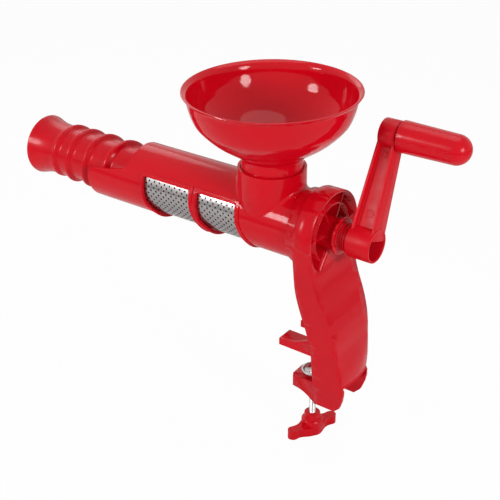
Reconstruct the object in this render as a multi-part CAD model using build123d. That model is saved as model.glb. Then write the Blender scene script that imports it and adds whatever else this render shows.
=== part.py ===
"""Tomato strainer with crank, clamped to a table edge.

The origin is the corner of the table edge: z = 0 is the table top under the two
upper jaws, x = 0 is the face of the leg that stands against the table, and y = 0
is the middle plane.  +X points to the crank, +Z up.  All sizes are millimetres.
"""
import os
from math import cos, sin, tan, radians, pi, sqrt

from build123d import *

# ---------------------------------------------------------------- shared sizes
AXIS_Z = 112.0          # height of the crank and auger axis over the table
FIT = 0.05              # radial clearance of a shaft in its bearing
SEAT = 0.3              # gap between two bodies that only lie near each other

# barrel moulding: windowed barrel, feed cylinder, chute and scoop in one piece
BARREL_R = 31.0         # outside of the barrel
BORE_R = 28.8           # bore for the screen, all the way through
BARREL_END_X = -200.0   # end of the full barrel
SCOOP_END_X = -246.8    # tip of the scoop under the auger
BARREL_FACE_X = -22.5   # shoulder that butts against the stand's socket
SPIGOT_R = 30.0         # reduced end that plugs into the socket
SPIGOT_END_X = -13.0

# windows: where each starts and ends along the barrel, at their upper edge
WINDOWS = ((-179.5, -127.0), (-119.0, -76.8))
WINDOW_TOP = 14.7       # upper edge over the crank axis
BORDER_W = 3.4          # raised border round each window
BORDER_H = 0.8

# chute
CHUTE_X = -58.0
CHUTE_R = 29.5
CHUTE_TOP_Z = 157.8
CHUTE_WALL = 2.2
FOOT_FILLET = 4.0       # where the chute grows out of the barrel
CHUTE_SEAT_Z = 142.5    # ledge the hopper's neck stands on
FEED_R = 23.4           # passage from the chute down to the auger

# hopper bowl
RIM_R = 75.0
RIM_Z = 225.9
EDGE_T = 1.5            # thickness of the bowl's rounded edge
BOWL_WALL = 2.0
BOWL_FOOT_Z = 166.5     # where the bowl grows out of the neck
# outside of the bowl: share of its reach, share of its rise
BOWL_SHAPE = ((0.02, 0.0), (0.07, 0.06), (0.27, 0.17), (0.55, 0.34), (0.78, 0.54),
              (0.885, 0.75), (0.915, 0.86), (0.95, 0.94), (1.0, 1.0))
NECK_R = 24.9           # outside of the neck
NECK_BORE_R = 22.7
STAND_GAP = 0.02        # the neck stands on the chute's ledge

# screen
SCREEN_R = 28.4         # outside of the steel sheet
SCREEN_T = 0.5
SCREEN_FAR_X = BARREL_END_X + 3.0
SCREEN_NEAR_X = -61.0
HOOP_W = 4.0

# auger
CREST_R = 27.2          # outside of the thread
FLARE_R = 28.8
FLARE_X = -329.4
AUGER_BACK_X = -13.8    # shoulder behind the stand's wall
SHANK_X0 = -6.0         # steel hexagon, moulded into the journal
SHANK_X1 = 27.6
JOURNAL_END_X = 14.0
JOURNAL_R = 9.0
SHANK_FLAT = 12.0       # hexagon across flats
THREAD_W = 10.8         # width of the thread at its root
THREAD_ROOT = 9.5       # how deep the thread's section reaches under its crest
THREAD_DEPTH = 4.2      # how far the crest dips where the thread runs out
THREAD_RUN_IN = 0.42    # turns over which it does
THREAD_STEPS = 8        # sections a turn
THREAD_X0 = -302.5      # the thread runs out here, beside the flare
THREAD_X1 = -36.0
THREAD_START = 319.0    # angle of that end, degrees from +Y towards +Z
THREAD_PITCH = 14.1
THREAD_GROWTH = 3.75    # the pitch grows by this much each turn
THREAD_PITCH_MAX = 34.0
AUGER_WALL = 3.0

# stand
DRUM_R = 37.7
DRUM_BACK_X = -12.5
DRUM_FRONT_X = 5.0
SOCKET_R = 33.2         # outside of the socket ring
SOCKET_X = -22.5        # open end of the socket ring
WALL = 2.3              # general wall of the stand
WEB_X = -12.4           # back of the wall that closes the socket
WEB_T = 2.4
RECESS_R = 35.5         # pocket in the front of the drum
BUSH_R = 12.0           # outside of the bearing bush
SEAL_W = 3.2
HUB_BOSS_R = 14.0       # bearing tube of the stand
HUB_BOSS_X = 13.8       # its free end
HUB_COLLAR_R = 16.4
RIB_RING_R = 25.0       # ring between the ribs of the drum
LEG_FOOT_Z = -54.3
LEG_FOOT_HALF = 18.5    # half width of the leg at its foot
LEG_TAPER = 0.117       # growth of the half width per mm of height
LEG_FACE_END_Z = -25.5  # the outer face stops here, the side walls go on
LEG_SWELL = 21.4        # how far the outer face swells out while the grip end passes
LEG_SWELL_TOP = 88.0
LEG_SWELL_RUN = 58.0
LEG_LOW_SWELL = 5.0     # and how much more below the sweep of the crank
LEG_LOW_TOP = 12.0
LEG_LOW_RUN = 24.0
LEG_LEVELS = 14         # levels that the leg is lofted through
LEG_CROWN = 0.5
LEG_LOW_CROWN = 2.6
LEG_STEP_TOP = 73.0     # from here down the table side steps out to x = 0
RIB_ANGLES = (28, 84, 140)      # ribs of the drum, each side of upright
RIB_T = 1.6
RIB_FRONT_X = DRUM_FRONT_X - 2.0
JAW_TIP_X = -33.5
JAW_IN = 10.0           # inner and outer side of a jaw, from the middle plane
JAW_OUT = 24.6
JAW_T = 8.0
BRACKET_TIP_X = -29.5
BRACKET_TOP_Z = -38.8
BRACKET_HALF = 10.0

# crank
NECK_X = HUB_BOSS_X + 0.4       # inner end of the crank's neck
CRANK_NECK_R = 12.4
HUB_R = 14.7
HUB_X = 23.4
HUB_END_X = 45.8
HUB_BORE_R = 12.7
HUB_FLOOR_X = 28.0
ARM_HUB_X = 25.0        # inner face of the arm at the hub
ARM_BOSS_X = 28.2       # and at the grip's boss, where it passes the leg
ARM_X1 = 44.0           # outer face of the arm
ARM_FLANGE = 2.6
ARM_WEB = 2.4
ARM_LENGTH = 91.6       # crank axis to grip axis
ARM_LEAN = 22.0         # degrees from upright, towards +Y
BOSS_R = 10.5

# grip
GRIP_X0 = ARM_X1 + 0.6
GRIP_X1 = 104.9
GRIP_R = 13.3
GRIP_TIP_R = 12.5
GRIP_WALL = 2.3
PIN_R = 4.0
PIN_BARB_X = 88.0
SCREW5_R = 2.5          # screw that holds the crank on
THRUST_R = 16.0

# clamp
SCREW_X = -12.7
SCREW_R = 3.0
NUT_FLAT = 10.0
NUT_T = 5.0
CUP_R = 10.7
CUP_RIM_Z = -31.5
CUP_H = 4.6
KNOB_TOP_Z = -80.2
KNOB_BOSS_R = 7.4
KNOB_BODY_R = 10.0
KNOB_BODY_Z = -86.0
KNOB_WING_Z = -92.4
KNOB_FOOT_Z = -101.0
WING_REACH = 26.4
WING_TURN = 22.0        # wings turned from the Y axis, degrees


# --------------------------------------------------------------------- helpers
def rod(r, x0, x1, y=0.0, z=AXIS_Z):
    """A cylinder along X between two x positions."""
    return Pos((x0 + x1) / 2, y, z) * Rot(0, 90, 0) * Cylinder(r, x1 - x0)


def pillar(r, z0, z1, x=0.0, y=0.0):
    """A cylinder along Z between two heights."""
    return Pos(x, y, (z0 + z1) / 2) * Cylinder(r, z1 - z0)


def block(x0, x1, y0, y1, z0, z1):
    return Pos((x0 + x1) / 2, (y0 + y1) / 2, (z0 + z1) / 2) * Box(
        x1 - x0, y1 - y0, z1 - z0)


def turned_x(profile):
    """Turn a closed outline of (x, radius) points about the crank axis."""
    wire = Polyline(*[(x, r) for x, r in profile], close=True)
    face = make_face(wire)
    return Pos(0, 0, AXIS_Z) * revolve(face, Axis.X, 360)


def turned_z(profile, x=0.0):
    """Turn a closed outline of (radius, z) points about an upright axis."""
    face = make_face(Plane.XZ * Polyline(*profile, close=True))
    return Pos(x, 0, 0) * revolve(face, Axis.Z, 360)


def side_plate(points, y0, y1):
    """A plate cut to an outline of (x, z) points between two y positions."""
    face = make_face(Plane.XZ * Polyline(*points, close=True))
    return Pos(0, y1, 0) * extrude(face, y1 - y0, dir=(0, -1, 0))


def hexagon_x(flat, x0, x1):
    plane = Plane(origin=(x0, 0, AXIS_Z), x_dir=(0, 1, 0), z_dir=(1, 0, 0))
    return extrude(plane * RegularPolygon(flat / 2, 6, major_radius=False), x1 - x0)


def ease(t):
    """A soft step from 0 to 1."""
    t = max(0.0, min(1.0, t))
    return t * t * (3 - 2 * t)


def save(node, shape):
    shape.label = node
    export_step(shape, "parts/%s.step" % node)
    print(node, round(shape.volume / 1000, 2), "cm3", len(shape.solids()), "solid")


# ---------------------------------------------------------------------- barrel
def window(edge_a, edge_b, border=0.0):
    """A window cutter: its two end edges slope a little as they run downwards."""
    top_z, edge_a, edge_b = WINDOW_TOP + border, edge_a - border, edge_b + border
    left = [(edge_a, top_z), (edge_a + 0.5, 0), (edge_a + 1.8, -10.7),
            (edge_a + 5, -16.5), (edge_a + 10, -22), (edge_a + 13, -36)]
    right = [(edge_b, top_z), (edge_b + 2, 0), (edge_b + 5.5, -12),
             (edge_b + 9, -21), (edge_b + 11, -36)]
    outline = [(x, AXIS_Z + z) for x, z in left + right[::-1]]
    return side_plate(outline, -45, 45)


def scoop_cutter():
    """Everything above the scoop, beyond the end of the full barrel."""
    pts = [(BARREL_END_X, 40), (BARREL_END_X, 22), (BARREL_END_X - 2.5, 17.5),
           (BARREL_END_X - 6, 14.2), (BARREL_END_X - 20, 11.5),
           (SCOOP_END_X + 13, 9.3), (SCOOP_END_X + 8.5, 8.6), (SCOOP_END_X + 4.5, 6.6),
           (SCOOP_END_X + 1.6, 3.2), (SCOOP_END_X + 0.3, -1), (SCOOP_END_X, -6),
           (SCOOP_END_X, -40), (SCOOP_END_X - 20, -40), (SCOOP_END_X - 20, 40)]
    return side_plate([(x, AXIS_Z + z) for x, z in pts], -45, 45)


def barrel():
    body = rod(BARREL_R, SCOOP_END_X - 2, BARREL_FACE_X)
    body += pillar(CHUTE_R, AXIS_Z, CHUTE_TOP_Z, CHUTE_X)
    seam = [e for e in body.edges()
            if e.geom_type not in (GeomType.LINE, GeomType.CIRCLE)]
    body = fillet(seam, FOOT_FILLET)
    body += rod(SPIGOT_R, BARREL_FACE_X - 1, SPIGOT_END_X)
    # thin bead round the feed cylinder, just before the stand
    body += rod(BARREL_R + 0.5, BARREL_FACE_X - 2.4, BARREL_FACE_X)
    # mouth of the chute: wide at the rim, then the bore that holds the neck
    mouth_r = CHUTE_R - CHUTE_WALL
    body -= turned_z([(0, CHUTE_SEAT_Z), (NECK_R + FIT, CHUTE_SEAT_Z),
                      (NECK_R + FIT, CHUTE_TOP_Z - 10), (mouth_r, CHUTE_TOP_Z - 4),
                      (mouth_r, CHUTE_TOP_Z + 1), (0, CHUTE_TOP_Z + 1)], CHUTE_X)
    body -= pillar(FEED_R, AXIS_Z, CHUTE_SEAT_Z + 1, CHUTE_X)
    # a flat raised border runs round each window
    collar = rod(BARREL_R + BORDER_H, BARREL_END_X, BARREL_FACE_X) - rod(
        BARREL_R - 0.5, BARREL_END_X - 1, BARREL_FACE_X + 1)
    for a, b in WINDOWS:
        body += collar & window(a, b, BORDER_W)
    body -= rod(BORE_R, SCOOP_END_X - 3, SPIGOT_END_X + 1)
    for a, b in WINDOWS:
        body -= window(a, b)
    body -= scoop_cutter()
    # two bayonet ribs on the feed cylinder
    for angle in (200, 20):
        rib = block(BARREL_FACE_X - 12, BARREL_FACE_X - 3, -1.1, 1.1,
                    AXIS_Z + BARREL_R - 0.5, AXIS_Z + BARREL_R + 0.7)
        body += Pos(0, 0, AXIS_Z) * Rot(angle, 0, 0) * Pos(0, 0, -AXIS_Z) * rib
    return body


# ---------------------------------------------------------------------- hopper
def bowl_curve():
    """Outside of the bowl from the neck up to the flared edge, as (radius, z)."""
    reach, rise = RIM_R - EDGE_T / 2 - NECK_R, RIM_Z - EDGE_T - BOWL_FOOT_Z
    return [(NECK_R + reach * a, BOWL_FOOT_Z + rise * b) for a, b in BOWL_SHAPE]


def inside(curve, wall):
    """Points one wall thickness inside an outside curve."""
    moved = []
    for before, after, (r, z) in zip(curve[:1] + curve, curve[1:] + curve[-1:], curve):
        dr, dz = after[0] - before[0], after[1] - before[1]
        size = sqrt(dr * dr + dz * dz)
        moved.append((r - wall * dz / size, z + wall * dr / size))
    return moved


def hopper():
    """Bowl that flares out at its edge, drawn in to the neck that plugs in the chute."""
    foot, curve = CHUTE_SEAT_Z + STAND_GAP, bowl_curve()
    wall = inside(curve, BOWL_WALL)[1:-1]
    edge = (curve[-1][0] - EDGE_T * 0.6, RIM_Z - 0.2)
    with BuildSketch(Plane.XZ) as sk:
        with BuildLine():
            Spline(*curve)
            ThreePointArc(curve[-1], (RIM_R, RIM_Z - EDGE_T * 0.45), edge)
            Spline(edge, *wall[::-1], (NECK_BORE_R, BOWL_FOOT_Z - 1.5))
            Polyline((NECK_BORE_R, BOWL_FOOT_Z - 1.5), (NECK_BORE_R, foot), (NECK_R, foot),
                     (NECK_R, BOWL_FOOT_Z - 3.5), curve[0])
        make_face()
    bowl = revolve(sk.sketch, Axis.Z, 360)
    return Pos(CHUTE_X, 0, 0) * bowl


# ---------------------------------------------------------------------- screen
def screen():
    tube = rod(SCREEN_R, SCREEN_FAR_X, SCREEN_NEAR_X)
    tube -= rod(SCREEN_R - SCREEN_T, SCREEN_FAR_X - 1, SCREEN_NEAR_X + 1)
    return tube - feed_notch()


def feed_notch():
    """What the chute's passage takes out of the screen's near end."""
    return pillar(NECK_R + 0.6, AXIS_Z, CHUTE_TOP_Z, CHUTE_X)


def screen_hoops():
    """Two hoops that hold the sheet round and centre it in the bore."""
    hoops = []
    for x0 in (SCREEN_FAR_X, SCREEN_NEAR_X - HOOP_W):
        ring = rod(BORE_R, x0, x0 + HOOP_W)
        ring -= rod(SCREEN_R, x0 - 1, x0 + HOOP_W + 1)
        hoops.append(ring - feed_notch())
    return Compound(children=hoops)


# ----------------------------------------------------------------------- auger
def thread_x(turn):
    """Where the thread is after some turns, counted from the outlet end."""
    grown = min(turn, (THREAD_PITCH_MAX - THREAD_PITCH) / THREAD_GROWTH)
    return (THREAD_X0 + THREAD_PITCH * grown + THREAD_GROWTH * grown * grown / 2
            + THREAD_PITCH_MAX * (turn - grown))


def thread_section(turn, turns):
    """Rib section in the plane through the axis; it dips at the thread's two ends."""
    a = radians(THREAD_START - 360 * turn)
    rise = ease(turn / THREAD_RUN_IN) * ease((turns - turn) / THREAD_RUN_IN)
    crest = CREST_R - THREAD_DEPTH * (1 - rise)
    root, h = CREST_R - THREAD_ROOT, THREAD_W / 2
    plane = Plane(origin=(thread_x(turn), 0, AXIS_Z), x_dir=(-1, 0, 0),
                  z_dir=(0, sin(a), -cos(a)))
    outline = [(-h, root), (h, root), (h - 2.2, crest - 1.5), (h - 4.2, crest),
               (4.2 - h, crest), (2.2 - h, crest - 1.5)]
    return plane * make_face(Polyline(*outline, close=True))


def thread():
    """Left-hand thread whose pitch shortens towards the outlet, in half-turn lofts."""
    count = 0
    while thread_x((count + 1) / THREAD_STEPS) < THREAD_X1:
        count += 1
    turns = count / THREAD_STEPS
    rings = [thread_section(i / THREAD_STEPS, turns) for i in range(count + 1)]
    half = THREAD_STEPS // 2
    return [loft(rings[i:i + half + 1]) for i in range(0, count, half)]


def auger():
    wall = AUGER_WALL
    flare = [(FLARE_X + 8, 26.7), (FLARE_X + 15, 25.2), (FLARE_X + 26, 24.3)]
    taper = [(-230, 22.6), (-120, 18.5), (-60, 16.0)]
    body = turned_x([(FLARE_X, 0), (FLARE_X, FLARE_R - 0.8), (FLARE_X + 0.8, FLARE_R),
                     (FLARE_X + 3, 28.2)] + flare + taper
                    + [(-26, 16.0), (-22, 24.0), (AUGER_BACK_X, 24.0),
                       (AUGER_BACK_X, JOURNAL_R), (JOURNAL_END_X, JOURNAL_R),
                       (JOURNAL_END_X, 0)])
    body = body + thread()
    # moulded hollow, open at the flared end
    body -= turned_x([(FLARE_X - 1, 0), (FLARE_X - 1, FLARE_R - wall + 0.8)]
                     + [(x, r - wall) for x, r in flare + taper]
                     + [(-30, 16.0 - wall), (-25, 6), (-25, 0)])
    body -= hexagon_x(SHANK_FLAT, SHANK_X0, JOURNAL_END_X + 1)
    return body


def drive_shank():
    """Steel hexagon that carries the crank's turn into the auger."""
    bar = hexagon_x(SHANK_FLAT, SHANK_X0, SHANK_X1)
    return bar - rod(SCREW5_R + FIT, SHANK_X1 - 16, SHANK_X1 + 1)


# ----------------------------------------------------------------------- stand
def leg_half(z):
    """Half width of the leg; at the top its sides run tangent into the drum."""
    return LEG_FOOT_HALF + LEG_TAPER * (z - LEG_FOOT_Z)


def leg_front(z):
    return (DRUM_FRONT_X + LEG_SWELL * ease((LEG_SWELL_TOP - z) / LEG_SWELL_RUN)
            + LEG_LOW_SWELL * ease((LEG_LOW_TOP - z) / LEG_LOW_RUN))


def leg_back(z):
    return DRUM_BACK_X * (1 - ease((LEG_STEP_TOP - z) / LEG_STEP_TOP))


def leg_section(z, inset):
    """One level of the leg: flat back and sides, crowned outer face."""
    h = leg_half(z) - inset
    back, front = leg_back(z) + inset, leg_front(z) - inset
    crown = (0.2 + LEG_CROWN * ease((LEG_SWELL_TOP - z) / LEG_SWELL_RUN)
             + LEG_LOW_CROWN * ease((LEG_LOW_TOP - z) / LEG_LOW_RUN))
    with BuildSketch(Plane.XY.offset(z)) as sk:
        with BuildLine():
            Polyline((front, -h), (back, -h), (back, h), (front, h))
            ThreePointArc((front, h), (front + crown, 0), (front, -h))
        make_face()
    return sk.sketch


def leg_solid(z_low, z_high, inset):
    """The leg lofted through evenly spaced levels."""
    step = (z_high - z_low) / LEG_LEVELS
    levels = [z_low + step * i for i in range(LEG_LEVELS + 1)]
    return loft([leg_section(z, inset) for z in levels])


def drum():
    """Socket ring, rounded shoulder and drum, with the pocket in its front."""
    body = turned_x([(SOCKET_X, 0), (SOCKET_X, SOCKET_R - 0.4), (SOCKET_X + 0.4, SOCKET_R),
                     (DRUM_BACK_X - 2.4, SOCKET_R), (DRUM_BACK_X - 1.2, SOCKET_R + 0.9),
                     (DRUM_BACK_X - 0.4, DRUM_R - 1.6), (DRUM_BACK_X + 0.6, DRUM_R - 0.5),
                     (DRUM_BACK_X + 2.2, DRUM_R), (DRUM_FRONT_X - 0.5, DRUM_R),
                     (DRUM_FRONT_X, DRUM_R - 0.5), (DRUM_FRONT_X, 0)])
    body -= rod(SPIGOT_R + FIT, SOCKET_X - 1, WEB_X)
    return body


def drum_pocket():
    """The space between the ribs: open all round but for the leg's sector."""
    floor = WEB_X + WEB_T
    pocket = rod(RECESS_R, floor, DRUM_FRONT_X + 1) - rod(HUB_BOSS_R, floor - 1,
                                                            DRUM_FRONT_X + 2)
    reach = 2 * DRUM_R
    side = reach * tan(radians(180 - RIB_ANGLES[-1]))
    plane = Plane(origin=(floor - 1, 0, AXIS_Z), x_dir=(0, 1, 0), z_dir=(1, 0, 0))
    sector = extrude(plane * make_face(Polyline((0, 0), (side, -reach), (-side, -reach),
                                                close=True)), 30)
    pocket -= sector
    ring = rod(RIB_RING_R + RIB_T, floor - 1, RIB_FRONT_X) - rod(
        RIB_RING_R, floor - 2, RIB_FRONT_X + 1)
    pocket -= ring
    for angle in RIB_ANGLES:
        for turn in (angle, -angle):
            rib = block(floor - 1, RIB_FRONT_X, -RIB_T / 2, RIB_T / 2,
                        HUB_BOSS_R - 1, RECESS_R + 1)
            pocket -= Pos(0, 0, AXIS_Z) * Rot(turn, 0, 0) * rib
    # small snap lugs under the rim
    for turn in (55, 108, -58):
        lug = block(floor - 1, DRUM_FRONT_X - 6, -2.2, 2.2, RECESS_R - 1.6, RECESS_R + 1)
        pocket -= Pos(0, 0, AXIS_Z) * Rot(turn, 0, 0) * lug
    return pocket


def jaw():
    """Upper jaw on the +Y side, with the gusset that runs up into the leg."""
    bar = block(JAW_TIP_X, 3, JAW_IN, JAW_OUT, 0, JAW_T)
    tip = bar.edges().filter_by(Axis.Y).sort_by(Axis.X)[0:2].sort_by(Axis.Z)[-1]
    bar = fillet([tip], 2.2)
    gusset = side_plate([(JAW_TIP_X + 14, JAW_T - 0.5), (3, JAW_T - 0.5), (3, JAW_T + 9),
                         (-2, JAW_T + 7.4)], JAW_OUT - 3, JAW_OUT)
    return bar + gusset


def bracket():
    """Lower bracket that carries the clamp screw."""
    top = BRACKET_TOP_Z
    plate = block(BRACKET_TIP_X, 1.5, -BRACKET_HALF, BRACKET_HALF, top - 4.5, top)
    corners = plate.edges().filter_by(Axis.Z).sort_by(Axis.X)[0:2]
    plate = fillet(corners, 3.5)
    nose = block(BRACKET_TIP_X, BRACKET_TIP_X + 3, -BRACKET_HALF, BRACKET_HALF,
                 top - 12.2, top - 2)
    nose = fillet(nose.edges().filter_by(Axis.Z).sort_by(Axis.X)[0:2], 2.9)
    body = plate + nose
    cheek = [(BRACKET_TIP_X + 2.9, top - 12.2), (BRACKET_TIP_X + 8, top - 13),
             (BRACKET_TIP_X + 13, top - 14.6), (BRACKET_TIP_X + 18, top - 17.4),
             (BRACKET_TIP_X + 22.5, top - 21), (1.5, top - 23), (1.5, top - 2),
             (BRACKET_TIP_X + 2.9, top - 2)]
    for y in (-BRACKET_HALF, BRACKET_HALF - WALL):
        body += side_plate(cheek, y, y + WALL)
    body += pillar(7.2, top - 17.0, top - 1, SCREW_X)
    # shallow grip notches in the tip
    for i in range(4):
        body -= pillar(0.7, top - 13, top + 1, BRACKET_TIP_X - 0.35, -5.4 + 3.6 * i)
    body -= pillar(SCREW_R + 0.35, top - 30, top + 1, SCREW_X)
    nut = Plane.XY.offset(top - 17.0 - 1) * RegularPolygon(NUT_FLAT / 2, 6,
                                                            major_radius=False)
    return body - Pos(SCREW_X, 0, 0) * extrude(nut, NUT_T + 1)


def stand():
    top = AXIS_Z - LEG_TAPER * DRUM_R
    # the leg stands a hair proud and is trimmed flat where the table's edge rests
    leg = Pos(-0.08, 0, 0) * leg_solid(LEG_FOOT_Z, top, 0)
    leg -= block(DRUM_BACK_X, 0, -JAW_OUT - 9, JAW_OUT + 9, LEG_FOOT_Z - 1, 0)
    cavity = leg_solid(LEG_FOOT_Z - 2, AXIS_Z - DRUM_R + 8, WALL)
    # below its edge the outer face is open between the side walls
    mouth = Pos(12, 0, 0) * cavity & block(0, 60, -40, 40, LEG_FOOT_Z - 3, LEG_FACE_END_Z)
    corner = side_plate([(60, LEG_FACE_END_Z + 1), (32.5, LEG_FACE_END_Z - 1),
                         (30.3, -39.0), (27.0, -48.5), (21.0, LEG_FOOT_Z - 0.2),
                         (21.0, -70), (60, -70)], -40, 40)
    body = leg - cavity - mouth - corner
    body += drum()
    # the drum's own space must stay free of the leg
    body -= rod(SPIGOT_R + FIT, SOCKET_X - 1, WEB_X)
    body -= drum_pocket()
    body += rod(HUB_BOSS_R, WEB_X, HUB_BOSS_X)
    body += turned_x([(HUB_BOSS_X - 2.4, 0), (HUB_BOSS_X - 2.4, HUB_COLLAR_R - 0.3),
                      (HUB_BOSS_X - 2.0, HUB_COLLAR_R), (HUB_BOSS_X - 0.5, HUB_COLLAR_R),
                      (HUB_BOSS_X, HUB_COLLAR_R - 0.5), (HUB_BOSS_X, 0)])
    body -= rod(BUSH_R, WEB_X - 1, HUB_BOSS_X + 1)
    for side in (0, 1):
        arm = jaw()
        body += mirror(arm, Plane.XZ) if side else arm
    body += block(-5, 3, -JAW_IN - 1, JAW_IN + 1, 0, JAW_T)
    body += bracket()
    return body


def bearing_bush():
    bush = rod(BUSH_R, WEB_X + SEAL_W, HUB_BOSS_X)
    return bush - rod(JOURNAL_R + FIT, WEB_X, HUB_BOSS_X + 1)


def shaft_seal():
    """Soft ring that keeps juice out of the bearing."""
    x0, x1 = WEB_X, WEB_X + SEAL_W
    lip = (x0 + x1) / 2
    return turned_x([(x0, JOURNAL_R + 0.9), (lip, JOURNAL_R + FIT),
                     (x1, JOURNAL_R + 0.9), (x1, BUSH_R), (x0, BUSH_R)])


def thrust_washer():
    ring = rod(THRUST_R, AUGER_BACK_X + 0.2, WEB_X)
    return ring - rod(JOURNAL_R + 0.1, AUGER_BACK_X - 1, WEB_X + 1)


# ----------------------------------------------------------------------- crank
def arm_outline():
    """Face of the upright arm: two circles joined by their common tangents."""
    lean = (HUB_R - BOSS_R) / ARM_LENGTH
    c = sqrt(1 - lean * lean)
    side = [(HUB_R * c, HUB_R * lean), (BOSS_R * c, ARM_LENGTH + BOSS_R * lean)]
    left = [(-x, y) for x, y in side[::-1]]
    shape = make_face(Polyline(*(side + left), close=True))
    return shape + Circle(HUB_R) + Pos(0, ARM_LENGTH) * Circle(BOSS_R)


def arm_bar():
    """The upright arm as an I-beam whose inner flange slants away from the leg."""
    plane = Plane(origin=(HUB_X, 0, 0), x_dir=(0, 1, 0), z_dir=(1, 0, 0))
    bar = extrude(plane * arm_outline(), ARM_X1 - HUB_X)
    slope = (ARM_BOSS_X - ARM_HUB_X) / ARM_LENGTH
    top, foot = ARM_LENGTH + 2 * BOSS_R, -2 * HUB_R
    bar -= side_plate([(0, foot), (ARM_HUB_X + slope * foot, foot),
                       (ARM_HUB_X + slope * top, top), (0, top)], -2 * HUB_R, 2 * HUB_R)
    low, high = HUB_R - 3, ARM_LENGTH - BOSS_R + 2
    pocket = [(ARM_HUB_X + slope * low + ARM_FLANGE, low), (ARM_X1 - ARM_FLANGE, low),
              (ARM_X1 - ARM_FLANGE, high), (ARM_HUB_X + slope * high + ARM_FLANGE, high)]
    for y0, y1 in ((ARM_WEB / 2, 2 * HUB_R), (-2 * HUB_R, -ARM_WEB / 2)):
        bar -= side_plate(pocket, y0, y1)
    return bar


def crank_arm():
    grip_y = ARM_LENGTH * sin(radians(ARM_LEAN))
    grip_z = AXIS_Z + ARM_LENGTH * cos(radians(ARM_LEAN))
    body = Pos(0, 0, AXIS_Z) * Rot(-ARM_LEAN, 0, 0) * arm_bar()
    body += rod(HUB_R, HUB_X, HUB_END_X)
    body += rod(BOSS_R, ARM_BOSS_X, ARM_X1, grip_y, grip_z)
    neck = [(NECK_X, 0), (NECK_X, CRANK_NECK_R - 0.5), (NECK_X + 0.5, CRANK_NECK_R)]
    for i in range(3):
        x = NECK_X + 2.4 + 2.2 * i
        neck += [(x, CRANK_NECK_R), (x + 0.4, CRANK_NECK_R - 0.9),
                 (x + 1.0, CRANK_NECK_R - 0.9), (x + 1.4, CRANK_NECK_R)]
    neck += [(HUB_X + 0.5, CRANK_NECK_R), (HUB_X + 0.5, 0)]
    body += turned_x(neck)
    body -= rod(HUB_BORE_R, HUB_FLOOR_X, HUB_END_X + 1)
    body -= hexagon_x(SHANK_FLAT + 2 * FIT, NECK_X - 1, HUB_FLOOR_X + 1)
    body -= rod(PIN_R, HUB_X, ARM_X1 + 1, grip_y, grip_z)
    return body


def crank_washer():
    ring = rod(9.0, HUB_FLOOR_X, HUB_FLOOR_X + 1.2)
    return ring - rod(SCREW5_R + FIT, HUB_FLOOR_X - 1, HUB_FLOOR_X + 2)


def crank_screw():
    x = HUB_FLOOR_X + 1.2
    body = rod(SCREW5_R, SHANK_X1 - 14, x + 1)
    body += turned_x([(x, 0), (x, 4.8), (x + 1.8, 4.8), (x + 2.6, 4.2), (x + 3.0, 3.2),
                      (x + 3.0, 0)])
    for turn in (0, 90):
        slot = block(x + 1.4, x + 4, -0.5, 0.5, -2.6, 2.6)
        body -= Pos(0, 0, AXIS_Z) * Rot(turn + 20, 0, 0) * slot
    return body


def at_grip(shape):
    """Move a piece drawn about the crank axis out to the grip axis."""
    a = radians(ARM_LEAN)
    return Pos(0, ARM_LENGTH * sin(a), ARM_LENGTH * cos(a)) * shape


def grip():
    """Hollow capsule with a bearing tube and four inner ribs."""
    x0, x1 = GRIP_X0, GRIP_X1
    shoulder = x1 - GRIP_TIP_R
    with BuildSketch() as sk:
        with BuildLine():
            Polyline((x0, 0), (x0, GRIP_R - 0.6), (x0 + 0.6, GRIP_R),
                     (shoulder, GRIP_TIP_R))
            ThreePointArc((shoulder, GRIP_TIP_R),
                          (shoulder + GRIP_TIP_R * sin(pi / 4), GRIP_TIP_R * cos(pi / 4)),
                          (x1, 0))
            Line((x1, 0), (x0, 0))
        make_face()
    body = Pos(0, 0, AXIS_Z) * revolve(sk.sketch, Axis.X, 360)
    body -= turned_x([(x0 - 1, 0), (x0 - 1, GRIP_R - GRIP_WALL),
                      (shoulder, GRIP_TIP_R - GRIP_WALL), (shoulder + 5, 7.4),
                      (shoulder + 7, 0)])
    body += rod(PIN_R + 2.4, x0 + 0.4, shoulder + 7.5)
    for turn in (22, 112, 202, 292):
        rib = block(x0 + 1.2, shoulder + 2, -0.8, 0.8, PIN_R + 1, GRIP_TIP_R - 1)
        body += Pos(0, 0, AXIS_Z) * Rot(turn, 0, 0) * rib
    body -= rod(PIN_R + FIT, x0 - 1, PIN_BARB_X + 1)
    body -= rod(PIN_R + 1.4, PIN_BARB_X - 0.3, PIN_BARB_X + 5)
    return at_grip(body)


def grip_pin():
    """Axle fixed in the arm, with a barb that holds the grip on."""
    return at_grip(turned_x([(ARM_BOSS_X, 0), (ARM_BOSS_X, PIN_R), (PIN_BARB_X, PIN_R),
                             (PIN_BARB_X, PIN_R + 0.9), (PIN_BARB_X + 3.6, PIN_R - 0.6),
                             (PIN_BARB_X + 3.6, 0)]))


# ----------------------------------------------------------------------- clamp
def clamp_cup():
    """Pressed steel cup with a rolled rim, turning freely on the screw."""
    base = CUP_RIM_Z - CUP_H
    return turned_z([(SCREW_R - 0.3, base), (6.2, base), (8.4, base + 1.0),
                     (9.3, base + 2.6), (9.6, CUP_RIM_Z - 1.3), (10.3, CUP_RIM_Z - 1.5),
                     (CUP_R, CUP_RIM_Z - 1.0), (CUP_R, CUP_RIM_Z - 0.5),
                     (10.2, CUP_RIM_Z), (9.3, CUP_RIM_Z), (8.8, CUP_RIM_Z - 0.5),
                     (8.5, base + 2.8), (7.8, base + 1.8), (6.0, base + 0.9),
                     (SCREW_R - 0.3, base + 0.9)], SCREW_X)


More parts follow.
